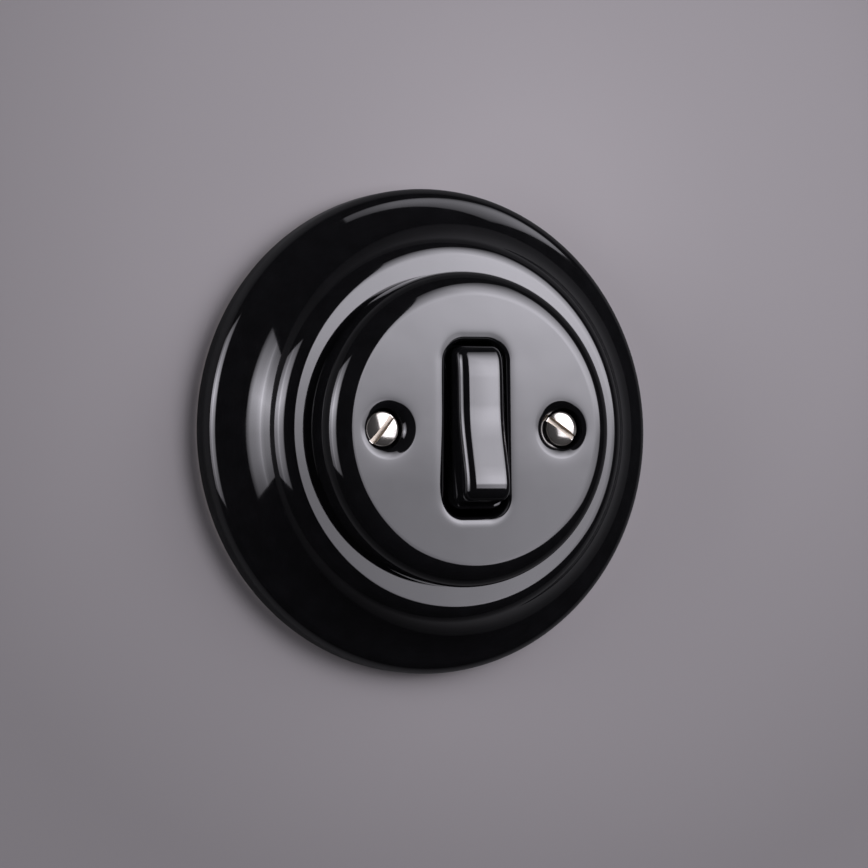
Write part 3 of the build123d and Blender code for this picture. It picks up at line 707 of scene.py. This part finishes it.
def bare_foot(tree, shader, vector):
    """Leaves pale biscuit where the glaze was wiped from the foot."""
    split = add(tree, "ShaderNodeSeparateXYZ")
    edge = add(tree, "ShaderNodeTexNoise", {"Scale": 350.0, "Detail": 3.0})
    wander = add(tree, "ShaderNodeMath", {1: glaze_wander}, operation="MULTIPLY")
    line = add(tree, "ShaderNodeMath", operation="ADD")
    bare = add(tree, "ShaderNodeMath", {1: -glaze_line}, operation="GREATER_THAN")
    tree.links.new(vector, split.inputs["Vector"])
    tree.links.new(vector, edge.inputs["Vector"])
    tree.links.new(edge.outputs["Fac"], wander.inputs[0])
    tree.links.new(split.outputs["Y"], line.inputs[0])
    tree.links.new(wander.outputs["Value"], line.inputs[1])
    tree.links.new(line.outputs["Value"], bare.inputs[0])
    show_through(tree, shader, bare.outputs["Value"], biscuit)


black_glaze, glaze_tree, glaze_shader, glaze_vector, _ = gloss_black(
    "black_glaze", ripple_depth=0.03 * mm, ior=glaze_ior, polish=glaze_polish
)
bare_foot(glaze_tree, glaze_shader, glaze_vector)
outer_frame.data.materials.append(black_glaze)
stand_in(outer_frame, "outer_frame", "switch")


# Cover plate: the round porcelain lid with the rocker's aperture and two screw recesses.
# The same black glaze, which thins and dips softly around every opening.
# Its rim and spigot are turned, and the openings are inset into the face and filled between.
cover_low, cover_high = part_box("cover_plate")
cover_radius = cover_high.x
face_height = -cover_low.y
spigot_foot = -cover_high.y
edge_radius = 5.1 * mm
flat_radius = cover_radius - edge_radius
land = 0.1 * mm
foot_radius = 0.5 * mm
spigot_clearance = 0.4 * mm
spigot_wall = 3.0 * mm
cover_thickness = 4.6 * mm
spigot_radius = bore_radius - spigot_clearance
spigot_inner = spigot_radius - spigot_wall
ceiling_height = face_height - cover_thickness
cover_section = (
    [(flat_radius - land, face_height)]
    + arc((flat_radius, face_height - edge_radius), edge_radius, 90, 0, 24)
    + arc((cover_radius - foot_radius, ring_height + foot_radius), foot_radius, 0, -90, 5)
    + [(spigot_radius, ring_height), (spigot_radius, spigot_foot), (spigot_inner, spigot_foot)]
    + [(spigot_inner, ceiling_height)]
)
cover = turned("porcelain_cover", cover_section, closed=False)


def sink(rim, sweep, steps):
    """Sinks the selected face through a flat land and a round rim that turns down by an angle."""
    bpy.ops.mesh.inset(thickness=land, depth=0)
    for k in range(steps):
        here = math.radians(sweep * k / steps)
        there = math.radians(sweep * (k + 1) / steps)
        inward = rim * (math.sin(there) - math.sin(here))
        down = rim * (math.cos(here) - math.cos(there))
        bpy.ops.mesh.inset(thickness=inward, depth=-down)


def face_at(x, height, sides):
    """A test for the many-sided face centred at a place on the cover."""
    place = Vector((x, -height, 0))
    return lambda face: len(face.verts) >= sides and (face.calc_center_median() - place).length < land


def fill_level(piece, height, near=None):
    """Fills the open edges at one height, all of them or those near a place."""
    def open_edge(edge):
        level = all(abs(v.co.y + height) < 2 * weld for v in edge.verts)
        close = near is None or (edge.verts[0].co - Vector(near[0])).length < near[1]
        return edge.is_boundary and level and close
    pick(piece, "edges", open_edge)
    bpy.ops.mesh.fill(use_beauty=True)


aperture_width = 13.4 * mm
aperture_length = 35.2 * mm
aperture_corner = 4.0 * mm
aperture_rim = 0.8 * mm
aperture_flare = 0.4 * mm
recess_radius = 6.1 * mm
recess_lip = 3.6 * mm
recess_sweep = 50.0
recess_x = 19.25 * mm
screw_x = 20.0 * mm
counterbore_radius = 4.15 * mm
counterbore_depth = 2.7 * mm
recess_floor = face_height - counterbore_depth
screw_hole = 2.5 * mm
boss_radius = 5.9 * mm
aperture_spread = 2 * (aperture_rim + land)

bpy.ops.object.mode_set(mode="EDIT")
bpy.ops.mesh.select_all(action="DESELECT")
plate_outline(
    aperture_width + aperture_spread,
    aperture_length + aperture_spread,
    aperture_corner + aperture_rim + land,
    face_height,
    steps=16,
    flare=aperture_flare,
)
pick(cover, "faces", face_at(0, face_height, sides=8))
sink(aperture_rim, sweep=90, steps=10)
drop = face_height - aperture_rim - ceiling_height
bpy.ops.mesh.extrude_region_move(TRANSFORM_OT_translate={"value": (0, drop, 0)})
bpy.ops.mesh.delete(type="FACE")

for side in (-1, 1):
    bpy.ops.mesh.select_all(action="DESELECT")
    bpy.ops.mesh.primitive_circle_add(
        vertices=128,
        radius=recess_radius + land,
        fill_type="NGON",
        location=(side * recess_x, -face_height, 0),
        rotation=along_y,
    )
    pick(cover, "faces", face_at(side * recess_x, face_height, sides=100))
    sink(recess_lip, recess_sweep, steps=14)
    bpy.ops.mesh.select_all(action="DESELECT")
    bpy.ops.mesh.primitive_cylinder_add(
        vertices=96,
        radius=boss_radius,
        depth=ceiling_height - spigot_foot,
        end_fill_type="NOTHING",
        location=(side * screw_x, -(ceiling_height + spigot_foot) / 2, 0),
        rotation=along_y,
    )
    fill_level(cover, spigot_foot, ((side * screw_x, -spigot_foot, 0), 1.5 * boss_radius))

fill_level(cover, face_height)
fill_level(cover, ceiling_height)
bpy.ops.mesh.select_all(action="SELECT")
bpy.ops.mesh.remove_doubles(threshold=weld)
bpy.ops.mesh.normals_make_consistent(inside=False)
bpy.ops.object.mode_set(mode="OBJECT")
for side in (-1, 1):
    for radius, floor in ((counterbore_radius, recess_floor), (screw_hole, spigot_foot - land)):
        drill_length = 2 * (face_height - floor)
        drill = rod(radius, drill_length, (side * screw_x, -face_height, 0), along_y, sides=128)
        combine(cover, drill, "DIFFERENCE")
bpy.ops.object.shade_smooth_by_angle(angle=math.radians(30))


def dip_around(tree, vector, half_size, corner, depth, reach):
    """The soft dip of the glaze around a rounded opening, as a height in metres."""
    fold = add(tree, "ShaderNodeVectorMath", operation="ABSOLUTE")
    flat = add(tree, "ShaderNodeVectorMath", {1: (1.0, 0.0, 1.0)}, operation="MULTIPLY")
    inset = (half_size[0] - corner, 0.0, half_size[1] - corner)
    past = add(tree, "ShaderNodeVectorMath", {1: inset}, operation="SUBTRACT")
    clip = add(tree, "ShaderNodeVectorMath", {1: (0.0, 0.0, 0.0)}, operation="MAXIMUM")
    away = add(tree, "ShaderNodeVectorMath", operation="LENGTH")
    tree.links.new(vector, fold.inputs[0])
    tree.links.new(fold.outputs["Vector"], flat.inputs[0])
    tree.links.new(flat.outputs["Vector"], past.inputs[0])
    tree.links.new(past.outputs["Vector"], clip.inputs[0])
    tree.links.new(clip.outputs["Vector"], away.inputs[0])
    gap = add(tree, "ShaderNodeMath", {1: corner}, operation="SUBTRACT")
    share = add(tree, "ShaderNodeMath", {1: -1 / reach}, operation="MULTIPLY")
    fade = add(tree, "ShaderNodeMath", operation="EXPONENT")
    height = add(tree, "ShaderNodeMath", {1: -depth}, operation="MULTIPLY")
    tree.links.new(away.outputs["Value"], gap.inputs[0])
    tree.links.new(gap.outputs["Value"], share.inputs[0])
    tree.links.new(share.outputs["Value"], fade.inputs[0])
    tree.links.new(fade.outputs["Value"], height.inputs[0])
    return height.outputs["Value"]


cover_glaze, cover_tree, _, cover_vector, cover_relief = gloss_black(
    "cover_glaze", ripple_depth=0.04 * mm, ior=glaze_ior, polish=glaze_polish
)
aperture_half = (aperture_width / 2 + aperture_rim, aperture_length / 2 + aperture_rim)
aperture_dip = dip_around(
    cover_tree,
    cover_vector,
    aperture_half,
    aperture_corner + aperture_rim,
    depth=0.1 * mm,
    reach=0.55 * mm,
)
recess_fold = add(cover_tree, "ShaderNodeVectorMath", operation="ABSOLUTE")
recess_shift = add(cover_tree, "ShaderNodeVectorMath", {1: (recess_x, 0.0, 0.0)}, operation="SUBTRACT")
cover_tree.links.new(cover_vector, recess_fold.inputs[0])
cover_tree.links.new(recess_fold.outputs["Vector"], recess_shift.inputs[0])
recess_dip = dip_around(
    cover_tree,
    recess_shift.outputs["Vector"],
    (recess_radius, recess_radius),
    recess_radius,
    depth=0.025 * mm,
    reach=1.0 * mm,
)
dips = add(cover_tree, "ShaderNodeMath", operation="ADD")
cover_tree.links.new(aperture_dip, dips.inputs[0])
cover_tree.links.new(recess_dip, dips.inputs[1])
cover_tree.links.new(dips.outputs["Value"], cover_relief)
cover.data.materials.append(cover_glaze)

# The floors of the screw wells have a dry, matt glaze, so no lamp is mirrored under the heads.
dry_glaze, _, dry_shader, _ = finish("dry_glaze", roughness=1.0)
dry_shader.inputs["Base Color"].default_value = (*jet, 1.0)
dry_shader.inputs["Specular IOR Level"].default_value = 0.0
cover.data.materials.append(dry_glaze)
bpy.ops.object.mode_set(mode="EDIT")
pick(cover, "faces", lambda face: all(abs(v.co.y + recess_floor) < 2 * weld for v in face.verts))
cover.active_material_index = 1
bpy.ops.object.material_slot_assign()
bpy.ops.object.mode_set(mode="OBJECT")
stand_in(cover, "cover_plate", "switch")


# Cover screws: two slotted screws with low domed heads that hold the cover to the pillars.
# Turned steel, polished and nickel plated, each stopped with its slot at its own angle.
# Each is turned and its slot is sawn, and the two are joined into one piece.
_, screw_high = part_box("cover_screws")
screw_tip = -screw_high.y
head_radius = 3.5 * mm
head_wall = 1.3 * mm
dome_rise = 0.6 * mm
dome_radius = (head_radius**2 + dome_rise**2) / (2 * dome_rise)
dome_turn = math.degrees(math.asin(head_radius / dome_radius))
crown = recess_floor + head_wall + dome_rise
head_edge = 0.15 * mm
edge_center = (head_radius - head_edge, recess_floor + head_wall - head_edge)
tip_chamfer = 4 * head_edge
edge_turn = 1.5
shank_radius = 2.0 * mm
slot_width = 1.2 * mm
slot_depth = 1.1 * mm
screw_section = (
    [(0, screw_tip), (shank_radius - tip_chamfer, screw_tip), (shank_radius, screw_tip + tip_chamfer)]
    + [(shank_radius, recess_floor), (head_radius, recess_floor)]
    + arc(edge_center, head_edge, 0, 90 - dome_turn, steps=4)
    + arc((0, crown - dome_radius), dome_radius, 90 - dome_turn + edge_turn, 90, steps=16)
)
slot_turns = {-1: 50.0, 1: -35.0}
screws = []
for side, slot_turn in slot_turns.items():
    screw = turned("cover_screw", screw_section, closed=False, steps=96)
    saw_size = (4 * head_radius, 2 * slot_depth, slot_width)
    saw = block(saw_size, (0, -crown, 0), (0, -math.radians(slot_turn), 0))
    combine(screw, saw, "DIFFERENCE")
    screw.location = (side * screw_x, 0, 0)
    screws.append(screw)

bpy.ops.object.select_all(action="DESELECT")
for screw in screws:
    screw.select_set(True)
bpy.context.view_layer.objects.active = screws[0]
bpy.ops.object.transform_apply(location=True, rotation=True, scale=True)
bpy.ops.object.join()
cover_screws = screws[0]
cover_screws.name = "nickel_screws"
bpy.ops.object.shade_smooth_by_angle(angle=math.radians(30))


slot_skin = 0.04 * mm
sawn_nickel = {"Base Color": (0.72, 0.64, 0.54, 1.0), "Roughness": (0.5, 0.5, 0.5, 1.0)}
nickel_metallic = 0.88


def dull_slot(tree, shader, from_axis, vector):
    """Leaves the sawn slot, which lies below the dome, rough and warm."""
    radius = add(tree, "ShaderNodeVectorMath", operation="LENGTH")
    split = add(tree, "ShaderNodeSeparateXYZ")
    square = add(tree, "ShaderNodeMath", {1: 2.0}, operation="POWER")
    dome_fall = {1: -0.5 / dome_radius, 2: crown - slot_skin}
    fall = add(tree, "ShaderNodeMath", dome_fall, operation="MULTIPLY_ADD")
    depth = add(tree, "ShaderNodeMath", operation="ADD")
    below = add(tree, "ShaderNodeMath", {1: 0.0}, operation="GREATER_THAN")
    within = add(tree, "ShaderNodeMath", {1: head_radius - head_edge}, operation="LESS_THAN")
    sawn = add(tree, "ShaderNodeMath", operation="MULTIPLY")
    tree.links.new(from_axis, radius.inputs[0])
    tree.links.new(vector, split.inputs["Vector"])
    tree.links.new(radius.outputs["Value"], square.inputs[0])
    tree.links.new(square.outputs["Value"], fall.inputs[0])
    tree.links.new(fall.outputs["Value"], depth.inputs[0])
    tree.links.new(split.outputs["Y"], depth.inputs[1])
    tree.links.new(depth.outputs["Value"], below.inputs[0])
    tree.links.new(radius.outputs["Value"], within.inputs[0])
    tree.links.new(below.outputs["Value"], sawn.inputs[0])
    tree.links.new(within.outputs["Value"], sawn.inputs[1])
    show_through(tree, shader, sawn.outputs["Value"], sawn_nickel)


cover_nickel, nickel_tree, nickel_shader, from_axis, nickel_vector = plated(
    "cover_nickel", nickel_dark, nickel_light, roughness=0.1, depth=0.0008 * mm, center=(screw_x, 0.0, 0.0)
)
nickel_shader.inputs["Metallic"].default_value = nickel_metallic
dull_slot(nickel_tree, nickel_shader, from_axis, nickel_vector)
cover_screws.data.materials.append(cover_nickel)
stand_in(cover_screws, "cover_screws", "switch")


# Wall: a pale-grey board that the switch hangs on, seen from the front only, with a pool of light painted
# on it above right of the switch that darkens outward, and a darker painted tone where it is mirrored in
# the glaze.
# From behind it is clear, so the mechanism that goes into the wall shows in other views.
# It stands a hair in front of the frame's foot, so the two surfaces never lie in one plane.
wall_size = 6.0
wall_step = 0.03 * mm
wall_shine = 0.2
bpy.ops.object.select_all(action="DESELECT")
bpy.ops.mesh.primitive_plane_add(size=wall_size, location=(0, -wall_step, 0), rotation=along_y)
bpy.ops.object.transform_apply(location=True, rotation=True, scale=True)
wall = bpy.context.object
wall.name = "wall"
wall_paint, wall_tree, wall_shader, wall_vector = finish("wall_paint", roughness=0.9)
wall_shader.inputs["Specular IOR Level"].default_value = wall_shine
ray = wall_tree.nodes.new("ShaderNodeLightPath")
# Mixes the painted pool of light, seen by most rays, with the painted reflection tone, seen by mirror
# rays.
painted_light_mix = add(wall_tree, "ShaderNodeMix", data_type="RGBA")
# Painted light: the wall's colour is lighter in a pool around a point above right of the switch and darker
# further out, a painted pool of light and painted shade.
painted_light_pool_center = (25 * mm, 0.0, 45 * mm)
painted_light_pool_tones = [
    (0.02, (0.585, 0.555, 0.56)),
    (0.05, (0.53, 0.503, 0.508)),
    (0.085, (0.49, 0.465, 0.47)),
    (0.115, (0.43, 0.408, 0.412)),
    (0.15, (0.36, 0.342, 0.345)),
]
painted_light_pool_distance = add(wall_tree, "ShaderNodeVectorMath", {1: painted_light_pool_center}, operation="DISTANCE")
wall_tree.links.new(wall_vector, painted_light_pool_distance.inputs[0])
painted_light_pool_tone = ramp(wall_tree, painted_light_pool_distance.outputs["Value"], painted_light_pool_tones)
wall_tree.links.new(painted_light_pool_tone, painted_light_mix.inputs["A"])
# Painted reflection: in mirror images only, the wall takes a darker tone, lighter near the switch and near
# black far off, which stands in for how it is lit.
reach = add(wall_tree, "ShaderNodeVectorMath", operation="LENGTH")
wall_tree.links.new(wall_vector, reach.inputs[0])
painted_reflection_tones = [(0.05, 0.17), (0.065, 0.14), (0.085, 0.075), (0.12, 0.045), (0.3, 0.02), (1.0, 0.004)]
painted_reflection_tone = ramp(wall_tree, reach.outputs["Value"], painted_reflection_tones)
wall_tree.links.new(painted_reflection_tone, painted_light_mix.inputs["B"])
wall_tree.links.new(ray.outputs["Is Glossy Ray"], painted_light_mix.inputs["Factor"])
wall_tree.links.new(painted_light_mix.outputs["Result"], wall_shader.inputs["Base Color"])
clear = wall_tree.nodes.new("ShaderNodeBsdfTransparent")
facing = wall_tree.nodes.new("ShaderNodeNewGeometry")
either = wall_tree.nodes.new("ShaderNodeMixShader")
wall_tree.links.new(facing.outputs["Backfacing"], either.inputs["Fac"])
wall_tree.links.new(wall_shader.outputs["BSDF"], either.inputs[1])
wall_tree.links.new(clear.outputs["BSDF"], either.inputs[2])
wall_tree.links.new(either.outputs["Shader"], wall_tree.nodes["Material Output"].inputs["Surface"])
wall.data.materials.append(wall_paint)


# Dark tent: a black half-dome in front, unseen by the camera, that keeps the glaze deep.
# Only the two lamps inside it and the wall are mirrored in the porcelain.
tent_radius = 2.8
tent_black = (0.04, 0.04, 0.04, 1.0)
bpy.ops.object.select_all(action="DESELECT")
bpy.ops.mesh.primitive_uv_sphere_add(segments=48, ring_count=24, radius=tent_radius)
tent = bpy.context.object
tent.name = "tent"
bpy.ops.object.mode_set(mode="EDIT")
pick(tent, "faces", lambda face: face.calc_center_median().y > 0.0)
bpy.ops.mesh.delete(type="FACE")
bpy.ops.object.mode_set(mode="OBJECT")
tent.visible_camera = False
tent_cloth, _, tent_shader, _ = finish("tent_cloth", roughness=1.0)
tent_shader.inputs["Base Color"].default_value = tent_black
tent_shader.inputs["Specular IOR Level"].default_value = 0.0
tent.data.materials.append(tent_cloth)


# Lamps: a large soft panel in front on the right and a tall soft strip far on the left.
# Each fades towards its edges, as a diffuser does, so reflections end softly.
lamp_tint = (0.936, 0.912, 1.0)


def toward(azimuth, elevation):
    """A direction from the switch, right of the wall's normal and above the horizon, in degrees."""
    a = math.radians(azimuth)
    e = math.radians(elevation)
    return Vector((math.sin(a) * math.cos(e), -math.cos(a) * math.cos(e), math.sin(e)))


def soft_lamp(name, place, turn, width, height, power, across, up):
    """An area lamp at a place, turned to face from a direction, that fades across and upwards."""
    data = bpy.data.lights.new(name, "AREA")
    data.shape = "RECTANGLE"
    data.size = width
    data.size_y = height
    data.energy = power
    data.color = lamp_tint
    data.use_nodes = True
    tree = data.node_tree
    spot = tree.nodes.new("ShaderNodeNewGeometry")
    split = tree.nodes.new("ShaderNodeSeparateXYZ")
    both = add(tree, "ShaderNodeMath", operation="MULTIPLY")
    tree.links.new(spot.outputs["Parametric"], split.inputs["Vector"])
    tree.links.new(ramp(tree, split.outputs["X"], across), both.inputs[0])
    tree.links.new(ramp(tree, split.outputs["Y"], up), both.inputs[1])
    tree.links.new(both.outputs["Value"], tree.nodes["Emission"].inputs["Strength"])
    lamp = bpy.data.objects.new(name, data)
    lamp.location = place
    lamp.rotation_euler = (-turn).to_track_quat("-Z", "Y").to_euler()
    lamp.visible_camera = False
    bpy.context.scene.collection.objects.link(lamp)


panel_distance = 1.2
panel_width = 1.056
panel_height = 1.6
panel_power = 29.0
panel_turn = toward(azimuth=38.2, elevation=19)
panel_fade = [
    (0.0, 0.55), (0.13, 0.66), (0.21, 0.8), (0.275, 1.0), (0.4, 1.0),
    (0.54, 0.85), (0.74, 0.75), (0.91, 0.62), (1.0, 0.35),
]
panel_rise = [
    (0.0, 0.33), (0.03, 0.4), (0.235, 0.42), (0.268, 0.64), (0.306, 0.93), (0.34, 1.0),
    (0.41, 0.98), (0.487, 0.82), (0.58, 0.68), (0.715, 0.5), (0.866, 0.26), (1.0, 0.1),
]
panel_place = panel_distance * panel_turn
soft_lamp("panel", panel_place, panel_turn, panel_width, panel_height, panel_power, panel_fade, panel_rise)

strip_width = 0.695
strip_height = 1.19
strip_power = 17.9
strip_azimuth = -53.7
strip_shift = 0.39
strip_lift = 0.185
strip_turn = toward(strip_azimuth, 0)
strip_place = strip_turn + strip_shift * toward(strip_azimuth - 90, 0) + Vector((0, 0, strip_lift))
strip_fade = [
    (0.0, 0.53), (0.3, 0.55), (0.42, 0.7), (0.475, 1.0),
    (0.53, 0.75), (0.65, 0.6), (0.86, 0.5), (1.0, 0.12),
]
strip_rise = [
    (0.0, 0.18), (0.08, 0.25), (0.19, 0.37), (0.34, 0.5), (0.45, 0.73), (0.55, 1.0),
    (0.63, 0.86), (0.71, 0.65), (0.77, 0.53), (0.87, 0.38), (1.0, 0.22),
]
soft_lamp("strip", strip_place, strip_turn, strip_width, strip_height, strip_power, strip_fade, strip_rise)


# Room: the pale surroundings that show behind the switch when it is seen from the back.
# One even colour all round, which the tent keeps off the front.
room_tone = (0.8, 0.8, 0.8, 1.0)
room_strength = 0.9
world = bpy.data.worlds.new("pale_room")
world.use_nodes = True
world.node_tree.nodes["Background"].inputs["Color"].default_value = room_tone
world.node_tree.nodes["Background"].inputs["Strength"].default_value = room_strength
bpy.context.scene.world = world


# Camera: level with the switch and to its left, as the photograph was taken.
# Its focal length is given in pixels of the photograph's width.
view_azimuth = -25.4
view_elevation = -1.02
view_distance = 0.7
view_roll = math.radians(-0.58)
view_target = Vector((3.0 * mm, 0, -0.53 * mm))
photo_width = 868
focal_pixels = 3370
outward = toward(view_azimuth, view_elevation)
right = (-outward).cross(Vector((0, 0, 1))).normalized()
up = right.cross(-outward).normalized()
turned_right = math.cos(view_roll) * right + math.sin(view_roll) * up
turned_up = -math.sin(view_roll) * right + math.cos(view_roll) * up
lens = bpy.data.cameras.new("camera")
lens.sensor_width = 36.0
lens.lens = lens.sensor_width * focal_pixels / photo_width
camera = bpy.data.objects.new("camera", lens)
turn = Matrix((turned_right, turned_up, outward)).transposed().to_4x4()
camera.matrix_world = Matrix.Translation(view_target + view_distance * outward) @ turn
bpy.context.scene.collection.objects.link(camera)
bpy.context.scene.camera = camera
bpy.context.scene.view_settings.view_transform = "Standard"
